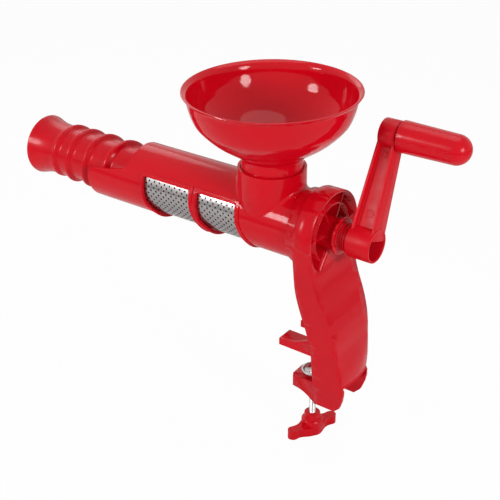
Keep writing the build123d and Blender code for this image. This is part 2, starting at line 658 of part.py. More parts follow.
def clamp_screw():
    """Steel screw: neck and riveted head in the cup, thread, end in the knob."""
    base = CUP_RIM_Z - CUP_H
    neck = SCREW_R - 0.36
    return turned_z([(0, KNOB_TOP_Z - 15), (SCREW_R - 0.4, KNOB_TOP_Z - 15),
                     (SCREW_R, KNOB_TOP_Z - 14), (SCREW_R, base - 0.1), (neck, base - 0.1),
                     (neck, base + 0.96), (SCREW_R + 0.9, base + 0.96),
                     (SCREW_R + 0.7, base + 1.7), (SCREW_R - 0.8, base + 2.1),
                     (0, base + 2.2)], SCREW_X)


def clamp_nut():
    """Hexagon insert that takes the thread, pressed in from below."""
    z = BRACKET_TOP_Z - 17.0
    face = Plane.XY.offset(z) * (RegularPolygon(NUT_FLAT / 2, 6, major_radius=False)
                                 - Circle(SCREW_R + FIT))
    return Pos(SCREW_X, 0, 0) * extrude(face, NUT_T)


def clamp_knob():
    """Wing knob: boss, round body and two wings with S-shaped sides."""
    with BuildSketch(Plane.XY.offset(KNOB_FOOT_Z)) as sk:
        with BuildLine():
            for s in (1, -1):
                Spline((s * 9.2, s * -4.0), (s * 8.4, s * 5.6), (s * 4.6, s * 12.5),
                       (s * 4.3, s * 19.0), (s * 4.6, s * 23.0), (0, s * WING_REACH),
                       (s * -4.6, s * 23.0), (s * -4.6, s * 17.5), (s * -7.4, s * 10.0),
                       (s * -9.2, s * 4.0))
        make_face()
    wings = extrude(sk.sketch, KNOB_WING_Z - KNOB_FOOT_Z)
    body = turned_z([(0, KNOB_FOOT_Z), (KNOB_BODY_R, KNOB_FOOT_Z),
                     (KNOB_BODY_R, KNOB_BODY_Z - 1.6), (KNOB_BODY_R - 0.8, KNOB_BODY_Z - 0.4),
                     (KNOB_BOSS_R + 0.6, KNOB_BODY_Z), (KNOB_BOSS_R, KNOB_BODY_Z + 0.6),
                     (KNOB_BOSS_R, KNOB_TOP_Z - 0.6), (KNOB_BOSS_R - 0.6, KNOB_TOP_Z),
                     (0, KNOB_TOP_Z)])
    shape = Rot(0, 0, -WING_TURN) * wings + body
    shape = Pos(SCREW_X, 0, 0) * shape
    return shape - pillar(SCREW_R, KNOB_TOP_Z - 15.0, KNOB_TOP_Z + 1, SCREW_X)


NODES = (stand, barrel, hopper, screen, screen_hoops, auger, drive_shank, bearing_bush,
         shaft_seal, thrust_washer, crank_arm, crank_washer, crank_screw, grip, grip_pin,
         clamp_cup, clamp_screw, clamp_nut, clamp_knob)

if __name__ == "__main__":
    os.makedirs("parts", exist_ok=True)
    for piece in NODES:
        save(piece.__name__, piece())
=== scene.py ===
# %% [markdown]
# # A tomato strainer with a crank, dressed for the camera
# The measured solids of the strainer are loaded as a fixed frame. Everything made
# here is placed around them in metres, in the same axes: X runs along the crank
# towards the handle, Z is up, and the table edge is the origin.

# %% Load the frame and keep its size
from math import atan2, cos, hypot, pi, radians, sin, sqrt

import bpy
from mathutils import Matrix, Vector


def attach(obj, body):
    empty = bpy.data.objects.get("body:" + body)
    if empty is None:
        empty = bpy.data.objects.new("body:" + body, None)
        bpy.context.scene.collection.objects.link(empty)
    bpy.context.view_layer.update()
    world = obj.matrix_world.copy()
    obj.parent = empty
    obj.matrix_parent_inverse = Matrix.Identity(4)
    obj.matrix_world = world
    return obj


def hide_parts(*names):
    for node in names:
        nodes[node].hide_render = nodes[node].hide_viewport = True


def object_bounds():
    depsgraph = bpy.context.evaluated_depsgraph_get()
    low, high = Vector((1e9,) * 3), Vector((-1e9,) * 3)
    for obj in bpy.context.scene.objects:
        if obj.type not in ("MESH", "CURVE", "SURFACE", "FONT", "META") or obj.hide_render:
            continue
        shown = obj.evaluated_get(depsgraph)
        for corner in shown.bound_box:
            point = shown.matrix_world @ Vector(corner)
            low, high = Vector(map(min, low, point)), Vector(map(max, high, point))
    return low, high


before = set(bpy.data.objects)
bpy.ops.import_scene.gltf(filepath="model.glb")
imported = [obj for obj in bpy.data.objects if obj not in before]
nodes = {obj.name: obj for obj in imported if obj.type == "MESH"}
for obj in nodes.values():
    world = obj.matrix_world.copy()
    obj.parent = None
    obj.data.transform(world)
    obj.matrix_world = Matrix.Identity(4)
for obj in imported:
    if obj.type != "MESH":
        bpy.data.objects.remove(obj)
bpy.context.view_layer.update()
print("nodes loaded:", len(nodes))

MM = 0.001

# %% [markdown]
# ## Small helpers
# Operators act on whatever is selected, so each step starts from an empty
# selection. A piece is finished when its place is in its mesh, so location,
# rotation and scale are applied to it at the end.


# %% Selection and finishing helpers
def start_clean():
    """Leave edit mode and select nothing."""
    if bpy.context.object and bpy.context.object.mode != "OBJECT":
        bpy.ops.object.mode_set(mode="OBJECT")
    bpy.ops.object.select_all(action="DESELECT")


def pick(piece):
    """Make one object the only selected and the active one."""
    start_clean()
    piece.select_set(True)
    bpy.context.view_layer.objects.active = piece


def settle(piece, smooth_angle=35.0):
    """Apply the place to the mesh and smooth all but the sharp edges."""
    pick(piece)
    bpy.ops.object.transform_apply(location=True, rotation=True, scale=True)
    bpy.ops.object.shade_smooth_by_angle(angle=radians(smooth_angle))
    return piece


def outward(piece, merge=1e-6):
    """Merge doubles and turn every face outwards."""
    pick(piece)
    bpy.ops.object.mode_set(mode="EDIT")
    bpy.ops.mesh.select_all(action="SELECT")
    bpy.ops.mesh.remove_doubles(threshold=merge)
    bpy.ops.mesh.normals_make_consistent(inside=False)
    bpy.ops.object.mode_set(mode="OBJECT")


# %% [markdown]
# ## Shared surface effects
# Every plastic piece came out of a polished mould: its colour drifts a little, the
# gloss is uneven where hands and cloths have rubbed it, and the skin has a very
# fine ripple. One node group makes these three values, so that each material can
# set its own strengths. A second group draws the fine scratches of use.


# %% Node group builder
def new_group(name, inputs, outputs):
    """An empty node group with float inputs (name, value) and (name, type) outputs."""
    group = bpy.data.node_groups.new(name, "ShaderNodeTree")
    for label, value in inputs:
        s = group.interface.new_socket(label, in_out="INPUT", socket_type="NodeSocketFloat")
        s.default_value = value
    for label, kind in outputs:
        group.interface.new_socket(label, in_out="OUTPUT", socket_type=kind)
    return group, group.nodes.new("NodeGroupInput"), group.nodes.new("NodeGroupOutput")


def add(tree, kind, **settings):
    """Add a node and set its properties; keys that name sockets set their values."""
    node = tree.nodes.new(kind)
    for key, value in settings.items():
        if hasattr(node, key):
            setattr(node, key, value)
        else:
            node.inputs[key.replace("_", " ")].default_value = value
    return node


def maths(tree, operation, a, b):
    """A Math node; a and b are numbers or sockets."""
    node = tree.nodes.new("ShaderNodeMath")
    node.operation = operation
    for socket, value in zip(node.inputs, (a, b)):
        if isinstance(value, (int, float)):
            socket.default_value = value
        else:
            tree.links.new(value, socket)
    return node.outputs[0]


# %% [markdown]
# Both groups read the object's own coordinates, so that the pattern stays on the
# piece when it turns or is lifted away. They give out masks and heights only.

# %% The moulded skin and the scratches
def moulded_skin_group():
    """Colour drift, gloss drift and ripple of a moulded plastic skin."""
    group, inp, out = new_group(
        "moulded skin",
        [("Drift Scale", 18.0), ("Gloss Low", 0.16), ("Gloss High", 0.34),
         ("Ripple Scale", 260.0)],
        [("Drift", "NodeSocketFloat"), ("Roughness", "NodeSocketFloat"),
         ("Height", "NodeSocketFloat")])
    link = group.links.new
    place = group.nodes.new("ShaderNodeTexCoord").outputs["Object"]
    drift = add(group, "ShaderNodeTexNoise", Detail=3.0, Roughness=0.55)
    link(place, drift.inputs["Vector"])
    link(inp.outputs["Drift Scale"], drift.inputs["Scale"])
    rubbed = add(group, "ShaderNodeTexNoise", Scale=46.0, Detail=5.0, Roughness=0.62)
    link(place, rubbed.inputs["Vector"])
    gloss = add(group, "ShaderNodeMapRange", interpolation_type="SMOOTHSTEP")
    gloss.inputs["From Min"].default_value = 0.38
    gloss.inputs["From Max"].default_value = 0.68
    link(rubbed.outputs["Fac"], gloss.inputs["Value"])
    link(inp.outputs["Gloss Low"], gloss.inputs["To Min"])
    link(inp.outputs["Gloss High"], gloss.inputs["To Max"])
    ripple = add(group, "ShaderNodeTexNoise", Detail=2.0, Roughness=0.5)
    link(place, ripple.inputs["Vector"])
    link(inp.outputs["Ripple Scale"], ripple.inputs["Scale"])
    link(drift.outputs["Fac"], out.inputs["Drift"])
    link(gloss.outputs["Result"], out.inputs["Roughness"])
    link(ripple.outputs["Fac"], out.inputs["Height"])
    return group


def scratches_group():
    """A mask of thin, long scratches that cross each other at random."""
    group, inp, out = new_group(
        "fine scratches", [("Density", 1.0)], [("Mask", "NodeSocketFloat")])
    link = group.links.new
    place = group.nodes.new("ShaderNodeTexCoord").outputs["Object"]
    lines = []
    for turn, stretch in (((0.4, 0.2, 0.9), (700.0, 22.0, 90.0)),
                          ((1.3, 0.8, 0.1), (60.0, 620.0, 18.0))):
        spread = add(group, "ShaderNodeMapping", vector_type="POINT")
        spread.inputs["Rotation"].default_value = turn
        spread.inputs["Scale"].default_value = stretch
        link(place, spread.inputs["Vector"])
        grain = add(group, "ShaderNodeTexNoise", Scale=1.0, Detail=1.0, Roughness=0.4)
        link(spread.outputs["Vector"], grain.inputs["Vector"])
        thin = add(group, "ShaderNodeMapRange")
        thin.inputs["From Min"].default_value = 0.70
        thin.inputs["From Max"].default_value = 0.76
        link(grain.outputs["Fac"], thin.inputs["Value"])
        lines.append(thin.outputs["Result"])
    both = maths(group, "MAXIMUM", lines[0], lines[1])
    link(maths(group, "MULTIPLY", both, inp.outputs["Density"]), out.inputs["Mask"])
    return group


SKIN = moulded_skin_group()
SCRATCHES = scratches_group()


# %% [markdown]
# ## The red plastic
# The strainer is moulded in one glossy red. The base colour is a deep red that the
# light turns into the brighter red of the photograph. A little of the light goes
# into the plastic before it comes out again, so the shadows stay warm. Each
# moulding gets its own material, because the bowl is shinier than the stand.


# %% Red plastic material
RED = (0.680, 0.002, 0.012)
DEEP_RED = (0.590, 0.002, 0.011)
RIPPLE_DEPTH = 0.000012


def red_plastic(name, gloss_low, gloss_high, ripple, scratch):
    """Glossy moulded red with drifted colour, uneven gloss, ripple and scratches."""
    material = bpy.data.materials.new(name)
    material.use_nodes = True
    tree = material.node_tree
    link = tree.links.new
    shader = tree.nodes["Principled BSDF"]
    shader.inputs["IOR"].default_value = 1.46
    shader.inputs["Specular IOR Level"].default_value = 0.20
    shader.inputs["Subsurface Weight"].default_value = 0.08
    shader.inputs["Subsurface Radius"].default_value = (0.8, 0.08, 0.05)
    shader.inputs["Subsurface Scale"].default_value = 0.0025
    skin = tree.nodes.new("ShaderNodeGroup")
    skin.node_tree = SKIN
    skin.inputs["Gloss Low"].default_value = gloss_low
    skin.inputs["Gloss High"].default_value = gloss_high
    skin.inputs["Ripple Scale"].default_value = ripple
    marks = tree.nodes.new("ShaderNodeGroup")
    marks.node_tree = SCRATCHES
    marks.inputs["Density"].default_value = scratch
    colour = add(tree, "ShaderNodeMix", data_type="RGBA")
    colour.inputs[6].default_value = (*DEEP_RED, 1)
    colour.inputs[7].default_value = (*RED, 1)
    link(skin.outputs["Drift"], colour.inputs[0])
    rough = maths(tree, "ADD", skin.outputs["Roughness"],
                  maths(tree, "MULTIPLY", marks.outputs["Mask"], 0.10))
    height = maths(tree, "SUBTRACT", skin.outputs["Height"],
                   maths(tree, "MULTIPLY", marks.outputs["Mask"], 0.12))
    bump = add(tree, "ShaderNodeBump", Strength=0.25, Distance=RIPPLE_DEPTH)
    link(height, bump.inputs["Height"])
    link(colour.outputs[2], shader.inputs["Base Color"])
    link(rough, shader.inputs["Roughness"])
    link(bump.outputs["Normal"], shader.inputs["Normal"])
    return material


# %% [markdown]
# ## Steel, brass, bearing plastic and rubber
# The sheet, screw and cup are steel. Rolling and drawing leave a fine grain along
# one direction, so the noise is stretched along that axis and drives both the
# roughness and a shallow bump. The bearing parts are pale natural plastic.


# %% Metal and inner-part materials
def brushed_metal(name, colour, grain=(60.0, 900.0, 900.0), rough=(0.22, 0.42)):
    """Metal with a drawn grain; grain gives the noise scale along X, Y and Z."""
    material = bpy.data.materials.new(name)
    material.use_nodes = True
    tree = material.node_tree
    link = tree.links.new
    shader = tree.nodes["Principled BSDF"]
    shader.inputs["Metallic"].default_value = 1.0
    place = tree.nodes.new("ShaderNodeTexCoord").outputs["Object"]
    spread = add(tree, "ShaderNodeMapping", vector_type="POINT")
    spread.inputs["Scale"].default_value = grain
    link(place, spread.inputs["Vector"])
    fibres = add(tree, "ShaderNodeTexNoise", Scale=1.0, Detail=4.0, Roughness=0.65)
    link(spread.outputs["Vector"], fibres.inputs["Vector"])
    stains = add(tree, "ShaderNodeTexNoise", Scale=70.0, Detail=4.0, Roughness=0.6)
    link(place, stains.inputs["Vector"])
    gloss = add(tree, "ShaderNodeMapRange")
    gloss.inputs["From Min"].default_value = 0.3
    gloss.inputs["From Max"].default_value = 0.7
    gloss.inputs["To Min"].default_value = rough[0]
    gloss.inputs["To Max"].default_value = rough[1]
    link(fibres.outputs["Fac"], gloss.inputs["Value"])
    tint = add(tree, "ShaderNodeMix", data_type="RGBA")
    tint.inputs[6].default_value = (*[c * 0.82 for c in colour], 1)
    tint.inputs[7].default_value = (*colour, 1)
    link(stains.outputs["Fac"], tint.inputs[0])
    bump = add(tree, "ShaderNodeBump", Strength=0.4, Distance=0.00002)
    link(fibres.outputs["Fac"], bump.inputs["Height"])
    link(tint.outputs[2], shader.inputs["Base Color"])
    link(gloss.outputs["Result"], shader.inputs["Roughness"])
    link(bump.outputs["Normal"], shader.inputs["Normal"])
    return material


def dull_plastic(name, colour, rough=0.5):
    """Matt moulded plastic or rubber with a soft drift and ripple."""
    material = bpy.data.materials.new(name)
    material.use_nodes = True
    tree = material.node_tree
    link = tree.links.new
    shader = tree.nodes["Principled BSDF"]
    skin = tree.nodes.new("ShaderNodeGroup")
    skin.node_tree = SKIN
    skin.inputs["Gloss Low"].default_value = rough - 0.08
    skin.inputs["Gloss High"].default_value = rough + 0.12
    tint = add(tree, "ShaderNodeMix", data_type="RGBA")
    tint.inputs[6].default_value = (*[c * 0.86 for c in colour], 1)
    tint.inputs[7].default_value = (*colour, 1)
    link(skin.outputs["Drift"], tint.inputs[0])
    bump = add(tree, "ShaderNodeBump", Strength=0.3, Distance=0.00003)
    link(skin.outputs["Height"], bump.inputs["Height"])
    link(tint.outputs[2], shader.inputs["Base Color"])
    link(skin.outputs["Roughness"], shader.inputs["Roughness"])
    link(bump.outputs["Normal"], shader.inputs["Normal"])
    return material


# %% [markdown]
# ## A material for every node
# Each CAD node gets its own material at once, also the ones that stay as they are.
# The bowl is the shiniest piece and the crank the dullest, as in the photograph.

# %% Materials by node
STEEL = (0.60, 0.60, 0.59)
SHEET_STEEL = (0.40, 0.38, 0.38)
BRASS = (0.80, 0.62, 0.28)
NATURAL = (0.82, 0.80, 0.74)

finishes = {
    "stand": red_plastic("stand red", 0.18, 0.26, 90.0, 0.25),
    "barrel": red_plastic("barrel red", 0.09, 0.16, 80.0, 0.2),
    "hopper": red_plastic("bowl red", 0.06, 0.11, 60.0, 0.15),
    "auger": red_plastic("auger red", 0.18, 0.26, 110.0, 0.2),
    "crank_arm": red_plastic("crank red", 0.34, 0.46, 100.0, 0.25),
    "grip": red_plastic("grip red", 0.17, 0.26, 120.0, 0.35),
    "clamp_knob": red_plastic("knob red", 0.18, 0.28, 120.0, 0.3),
    "screen": brushed_metal("screen steel", SHEET_STEEL, (60.0, 700.0, 700.0),
                            (0.16, 0.30)),
    "screen_hoops": brushed_metal("hoop steel", STEEL, (900.0, 70.0, 70.0)),
    "drive_shank": brushed_metal("shank steel", STEEL),
    "crank_washer": brushed_metal("washer steel", STEEL, (300.0, 300.0, 300.0)),
    "crank_screw": brushed_metal("crank screw steel", STEEL, (300.0, 300.0, 300.0)),
    "clamp_screw": brushed_metal("clamp screw steel", STEEL, (300.0, 300.0, 900.0)),
    "clamp_cup": brushed_metal("cup steel", STEEL, (300.0, 300.0, 900.0)),
    "clamp_nut": brushed_metal("nut brass", BRASS, (300.0, 300.0, 300.0)),
    "bearing_bush": dull_plastic("bush plastic", NATURAL, 0.42),
    "thrust_washer": dull_plastic("thrust washer plastic", NATURAL, 0.42),
    "grip_pin": dull_plastic("grip pin plastic", NATURAL, 0.42),
    "shaft_seal": dull_plastic("seal rubber", (0.45, 0.02, 0.02), 0.6),
}
for node_name, finish in finishes.items():
    nodes[node_name].data.materials.clear()
    nodes[node_name].data.materials.append(finish)
print("materials made:", len(finishes))


# %% [markdown]
# ## Drawing and turning
# Most pieces of this tool are round about one line, so they are made as on a lathe.
# Half of the outline is drawn as a chain of points, extruded one from the last, and
# spun once round the Z axis. A piece that lies along X is laid down afterwards.


# %% Helpers that draw and turn an outline
def choose(piece, test):
    """In edit mode, select only the points whose place passes the test."""
    pick(piece)
    bpy.ops.object.mode_set(mode="EDIT")
    bpy.ops.mesh.select_mode(type="VERT")
    bpy.ops.mesh.select_all(action="DESELECT")
    bpy.ops.object.mode_set(mode="OBJECT")
    for point in piece.data.vertices:
        point.select = test(point.co)
    bpy.ops.object.mode_set(mode="EDIT")


def drawn_line(name, points):
    """A chain of edges through points in mm, each extruded from the last."""
    start_clean()
    bpy.ops.mesh.primitive_plane_add(size=0.001, location=(0, 0, 0))
    piece = bpy.context.object
    piece.name = name
    bpy.ops.object.mode_set(mode="EDIT")
    bpy.ops.mesh.select_mode(type="VERT")
    bpy.ops.mesh.select_all(action="SELECT")
    bpy.ops.mesh.merge(type="CENTER")
    bpy.ops.transform.translate(value=Vector(points[0]) * MM)
    for before, after in zip(points, points[1:]):
        step = (Vector(after) - Vector(before)) * MM
        bpy.ops.mesh.extrude_region_move(TRANSFORM_OT_translate={"value": step})
    return piece


def turned(name, outline, steps=96):
    """Spin an outline of (radius, height) in mm once round the Z axis."""
    piece = drawn_line(name, [(r, 0.0, z) for r, z in outline])
    bpy.ops.mesh.select_all(action="SELECT")
    bpy.ops.mesh.spin(steps=steps, angle=2 * pi, center=(0, 0, 0), axis=(0, 0, 1))
    outward(piece)
    return piece


def smooth_through(points, pieces=6):
    """Extra points on a soft curve through the given (radius, height) points."""
    ends = [points[0]] + list(points) + [points[-1]]
    curve = []
    for a, b, c, d in zip(ends, ends[1:], ends[2:], ends[3:]):
        for i in range(pieces):
            t = i / pieces
            curve.append(tuple(
                0.5 * (2 * q + (r - p) * t + (2 * p - 5 * q + 4 * r - s) * t * t
                       + (3 * q - p - 3 * r + s) * t ** 3)
                for p, q, r, s in zip(a, b, c, d)))
    return curve + [points[-1]]


def apply_modifier(piece, kind, **settings):
    """Add one modifier, set it and apply it."""
    pick(piece)
    modifier = piece.modifiers.new(kind.lower(), kind)
    for key, value in settings.items():
        setattr(modifier, key, value)
    bpy.ops.object.modifier_apply(modifier=modifier.name)


def hand_over(piece, node, body):
    """The piece stands for a CAD node, rides on its body and takes its finish."""
    piece.data.materials.clear()
    piece.data.materials.append(finishes[node])
    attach(piece, body)
    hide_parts(node)
    print(node, "modelled,", len(piece.data.polygons), "faces")


# %% [markdown]
# ## The perforated sheet
# On the real tool a steel sheet full of staggered round holes is rolled into a
# tube. One small repeat of it is modelled flat: two squares with a round hole and
# two plain ones. Arrays lay the repeats side by side, the sheet is rolled up, and
# Solidify gives it its half millimetre. Holes that are really open show the dark
# thread behind them from every side, which a painted pattern would not.

# %% One repeat of the sheet
AXIS_Z = 112.0
SHEET_R, SHEET_T = 28.4, 0.5
SHEET_ENDS = (-197.0, -61.0)
HOLE_R = 0.95
ROUND, ALONG = 31, 22                    # repeats round and along the tube
CELL_U, CELL_V = 2 * pi * SHEET_R / ROUND, 5.8


def sheet_square(u, v, hole):
    """A square of a quarter repeat at (u, v), as a ring round a hole or plain."""
    half_u, half_v = CELL_U / 4 * MM, CELL_V / 4 * MM
    start_clean()
    bpy.ops.mesh.primitive_circle_add(vertices=8, radius=HOLE_R * MM,
                                      fill_type="NOTHING" if hole else "NGON")
    piece = bpy.context.object
    bpy.ops.object.mode_set(mode="EDIT")
    bpy.ops.mesh.select_all(action="SELECT")
    if hole:
        bpy.ops.mesh.extrude_region_move(TRANSFORM_OT_translate={"value": (0, 0, 0)})
    grow = (half_u / (HOLE_R * MM), half_v / (HOLE_R * MM), 1)
    bpy.ops.transform.resize(value=grow, center_override=(0, 0, 0))
    choose(piece, lambda co: abs(co.x) > half_u * 0.69 and abs(co.y) > half_v * 0.69)
    bpy.ops.transform.resize(value=(sqrt(2), sqrt(2), 1), center_override=(0, 0, 0))
    bpy.ops.mesh.select_all(action="SELECT")
    bpy.ops.transform.translate(value=((u + CELL_U / 4) * MM, (v + CELL_V / 4) * MM, 0))
    bpy.ops.object.mode_set(mode="OBJECT")
    return piece


squares = [sheet_square(0, 0, True), sheet_square(CELL_U / 2, CELL_V / 2, True),
           sheet_square(CELL_U / 2, 0, False), sheet_square(0, CELL_V / 2, False)]
start_clean()
for square in squares:
    square.select_set(True)
sheet = squares[0]
bpy.context.view_layer.objects.active = sheet
bpy.ops.object.join()
sheet.name = "perforated_sheet"
outward(sheet, 1e-5)
print("one repeat of the sheet has", len(sheet.data.polygons), "faces")

# %% [markdown]
# Two Array modifiers lay the repeats side by side. Then each point's place across
# the flat sheet becomes an angle, which rolls the sheet up, and the merge closes the
# long seam.

# %% Lay out the repeats and roll the sheet up
apply_modifier(sheet, "ARRAY", count=ROUND, use_relative_offset=False,
               use_constant_offset=True, constant_offset_displace=(CELL_U * MM, 0, 0))
apply_modifier(sheet, "ARRAY", count=ALONG, use_relative_offset=False,
               use_constant_offset=True, constant_offset_displace=(0, CELL_V * MM, 0))
first = sum(SHEET_ENDS) / 2 - ALONG * CELL_V / 2
for point in sheet.data.vertices:
    turn = point.co.x / (SHEET_R * MM)
    point.co = (first * MM + point.co.y, SHEET_R * MM * sin(turn),
                AXIS_Z * MM + SHEET_R * MM * cos(turn))
outward(sheet, 2e-5)

# %% [markdown]
# The ends of the sheet have no holes. Their edges are pulled out to the full
# length, the notch under the chute is cut, and the sheet gets its thickness.

# %% Plain ends, notch under the chute, thickness
NOTCH_X, NOTCH_R = -58.0, 25.6
last = first + ALONG * CELL_V
for edge, end in ((first, SHEET_ENDS[0]), (last, SHEET_ENDS[1])):
    choose(sheet, lambda co, edge=edge: abs(co.x - edge * MM) < 1e-5)
    bpy.ops.mesh.extrude_region_move(
        TRANSFORM_OT_translate={"value": ((end - edge) * MM, 0, 0)})
choose(sheet, lambda co: co.z > AXIS_Z * MM
       and hypot(co.x - NOTCH_X * MM, co.y) < NOTCH_R * MM)
bpy.ops.mesh.delete(type="VERT")
outward(sheet, 1e-6)
apply_modifier(sheet, "SOLIDIFY", thickness=SHEET_T * MM, offset=-1.0)
settle(sheet, 30.0)
hand_over(sheet, "screen", "frame")

# %% [markdown]
# ## The bowl
# The bowl is one thin moulding: a neck that plugs into the chute, a curved wall of
# 2 mm and an edge that flares into a thin round lip. Its outline is drawn as a soft
# curve through a few measured points, outside and inside, and turned.

# %% Bowl and neck
CHUTE_X = -58.0
RIM_R, RIM_Z, EDGE_T = 75.0, 225.9, 1.5
NECK_R, NECK_BORE_R, NECK_FOOT_Z, BOWL_FOOT_Z = 24.9, 22.7, 142.52, 166.5
BOWL_WALL = 2.0
BOWL_SHAPE = ((0.033, 0.0), (0.08, 0.06), (0.27, 0.17), (0.55, 0.34), (0.78, 0.54),
              (0.865, 0.68), (0.914, 0.82), (0.938, 0.92), (0.955, 0.965), (1.0, 1.0))


def inner_wall(outside, wall):
    """The same curve moved one wall thickness inwards."""
    moved = []
    for before, after, (r, z) in zip(outside[:1] + outside, outside[1:] + outside[-1:],
                                     outside):
        dr, dz = after[0] - before[0], after[1] - before[1]
        size = hypot(dr, dz)
        moved.append((r - wall * dz / size, z + wall * dr / size))
    return moved


reach, rise = RIM_R - EDGE_T / 2 - NECK_R, RIM_Z - EDGE_T - BOWL_FOOT_Z
outer = [(NECK_R + reach * a, BOWL_FOOT_Z + rise * b) for a, b in BOWL_SHAPE]
inner = inner_wall(outer, BOWL_WALL)[1:-1]
lip = [(RIM_R - 0.32, RIM_Z - 1.25), (RIM_R, RIM_Z - 0.75), (RIM_R - 0.25, RIM_Z - 0.25),
       (RIM_R - 0.85, RIM_Z), (RIM_R - 1.65, RIM_Z - 0.2)]
bowl_outline = (
    [(NECK_R - 0.4, NECK_FOOT_Z), (NECK_R, NECK_FOOT_Z + 0.4), (NECK_R, 147.4),
     (26.55, 153.6), (26.55, 158.0), (26.5, BOWL_FOOT_Z - 3.0)]
    + smooth_through(outer, 5) + lip
    + smooth_through([(RIM_R - 2.4, RIM_Z - 0.6)] + inner[::-1]
                     + [(NECK_BORE_R, BOWL_FOOT_Z - 1.5)], 5)
    + [(NECK_BORE_R, NECK_FOOT_Z + 0.4), (NECK_BORE_R + 0.4, NECK_FOOT_Z),
       (NECK_R - 0.4, NECK_FOOT_Z)])
bowl = turned("bowl", bowl_outline, 160)
bowl.location.x = CHUTE_X * MM
settle(bowl, 40.0)
hand_over(bowl, "hopper", "hopper")

# %% [markdown]
# ## The turning grip
# The grip is a hollow capsule that turns on its pin. It is thickest at the crank's
# side, narrows a little towards its round tip, and has a small broken edge where
# the mould closed. The outline is turned about Z and then laid along X.

# %% Grip
GRIP_Y, GRIP_Z = 34.314, 196.930
GRIP_ENDS = (44.6, 104.9)
GRIP_R, GRIP_TIP_R, PIN_CLEAR_R = 13.3, 12.5, 4.05
shoulder = GRIP_ENDS[1] - GRIP_TIP_R
dome = [(GRIP_TIP_R * cos(radians(a)), shoulder + GRIP_TIP_R * sin(radians(a)))
        for a in range(0, 91, 5)]
grip_outline = (
    [(PIN_CLEAR_R, 76.0), (PIN_CLEAR_R, GRIP_ENDS[0] + 0.4), (6.4, GRIP_ENDS[0] + 0.4),
     (6.4, 62.0), (10.6, 62.0), (11.0, GRIP_ENDS[0] + 0.3), (11.3, GRIP_ENDS[0]),
     (GRIP_R - 0.7, GRIP_ENDS[0]), (GRIP_R - 0.3, GRIP_ENDS[0] + 0.12),
     (GRIP_R - 0.08, GRIP_ENDS[0] + 0.35), (GRIP_R, GRIP_ENDS[0] + 0.8)]
    + [(GRIP_R + (GRIP_TIP_R - GRIP_R) * i / 8,
        GRIP_ENDS[0] + 0.8 + (shoulder - GRIP_ENDS[0] - 0.8) * i / 8) for i in range(1, 8)]
    + dome[:-1] + [(0.0, GRIP_ENDS[1])])
grip = turned("turning_grip", grip_outline, 112)
choose(grip, lambda co: hypot(co.x, co.y) < (PIN_CLEAR_R + 0.01) * MM
       and abs(co.z - 76.0 * MM) < 1e-5)
bpy.ops.mesh.edge_face_add()
outward(grip)
grip.rotation_euler = (0, pi / 2, 0)
grip.location = (0, GRIP_Y * MM, GRIP_Z * MM)
settle(grip, 40.0)
hand_over(grip, "grip", "grip")

# %% [markdown]
# ## The clamp's screw and cup
# The thread of the clamp is a real helix: the outline of one pitch is screwed up
# along Z by the Screw modifier and both ends are cut level. The plain neck and the
# riveted head are turned.

# %% Clamp screw with its helical thread
SCREW_X, PITCH = -12.7, 1.5
CUP_RIM_Z, CUP_H = -31.5, 4.6
KNOB_TOP_Z = -80.2
cup_base = CUP_RIM_Z - CUP_H
thread_ends = (KNOB_TOP_Z - 12.0, cup_base - 1.2)
turns = int((thread_ends[1] - thread_ends[0]) / PITCH) + 3
tooth = [(2.42, 0.0), (2.42, 0.12), (2.94, 0.66), (2.99, 0.75), (2.94, 0.84),
         (2.42, 1.38), (2.42, PITCH)]
screw = drawn_line("clamp_screw_thread",
                   [(r, 0, thread_ends[0] - PITCH * 1.5 + z) for r, z in tooth])
bpy.ops.object.mode_set(mode="OBJECT")
apply_modifier(screw, "SCREW", angle=2 * pi, screw_offset=PITCH * MM, iterations=turns,
               steps=28, render_steps=28, axis="Z", use_merge_vertices=True,
               merge_threshold=1e-6, use_smooth_shade=False)
outward(screw, 2e-6)
for height, way in ((thread_ends[0], 1), (thread_ends[1], -1)):
    pick(screw)
    bpy.ops.object.mode_set(mode="EDIT")
    bpy.ops.mesh.select_all(action="SELECT")
    bpy.ops.mesh.bisect(plane_co=(0, 0, height * MM), plane_no=(0, 0, way),
                        use_fill=True, clear_inner=True, clear_outer=False)
outward(screw, 2e-6)
neck = turned("clamp_screw_neck", [
    (0, thread_ends[1] - 0.6), (2.4, thread_ends[1] - 0.6), (2.6, thread_ends[1]),
    (2.95, thread_ends[1] + 0.3), (2.95, cup_base - 0.1), (2.64, cup_base - 0.1),
    (2.64, cup_base + 0.96), (3.9, cup_base + 0.96), (3.85, cup_base + 1.35),
    (3.4, cup_base + 1.85), (2.2, cup_base + 2.1), (0, cup_base + 2.2)], 48)
tail = turned("clamp_screw_tail", [
    (0, KNOB_TOP_Z - 15), (2.6, KNOB_TOP_Z - 15), (2.98, KNOB_TOP_Z - 14.4),
    (2.98, thread_ends[0] + 0.2), (0, thread_ends[0] + 0.2)], 48)
start_clean()
for part in (screw, neck, tail):
    part.select_set(True)
bpy.context.view_layer.objects.active = screw
bpy.ops.object.join()
screw.location.x = SCREW_X * MM
settle(screw, 30.0)
hand_over(screw, "clamp_screw", "screw")

# %% [markdown]
# The cup is pressed from sheet and its rim is rolled over. Its outline runs up the
# outside, round the rim and down the inside, so that the wall keeps its thickness.

